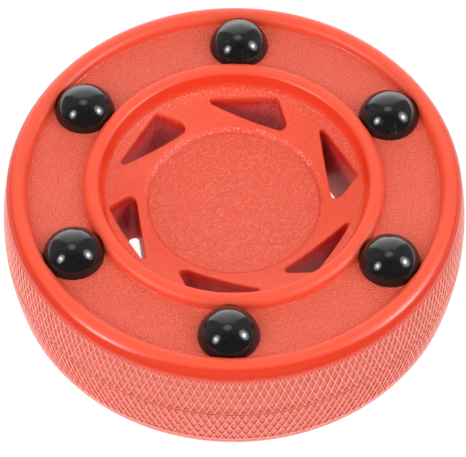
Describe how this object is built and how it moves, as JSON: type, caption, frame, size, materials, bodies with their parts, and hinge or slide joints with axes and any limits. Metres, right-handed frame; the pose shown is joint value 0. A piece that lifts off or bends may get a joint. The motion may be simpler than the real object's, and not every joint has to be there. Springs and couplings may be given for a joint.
{
  "type": "roller hockey puck",
  "caption": "Round moulded puck with a knurled edge, a dished centre with swirl vents, and domed glide runners riveted through both faces.",
  "frame": {"origin": "centre of the puck's axis on the surface that it glides on, at the tips of the lower runners", "axes": "+Z along the puck's axis, up through the upper face; +X and +Y lie in the face, and one runner of each face stands on +Y"},
  "size_m": [0.0762, 0.0762, 0.0275],
  "materials": {
    "disc_plastic": "orange-red moulded thermoplastic: fine grain on the faces, satin rims, knurled edge",
    "runner_plastic": "polished black nylon"
  },
  "bodies": {
    "root": {"body": "disc_plastic", "runner_top_1": "runner_plastic", "runner_top_2": "runner_plastic", "runner_top_3": "runner_plastic", "runner_top_4": "runner_plastic", "runner_top_5": "runner_plastic", "runner_top_6": "runner_plastic", "runner_bottom_1": "runner_plastic", "runner_bottom_2": "runner_plastic", "runner_bottom_3": "runner_plastic", "runner_bottom_4": "runner_plastic", "runner_bottom_5": "runner_plastic", "runner_bottom_6": "runner_plastic"}
  },
  "joints": []
}
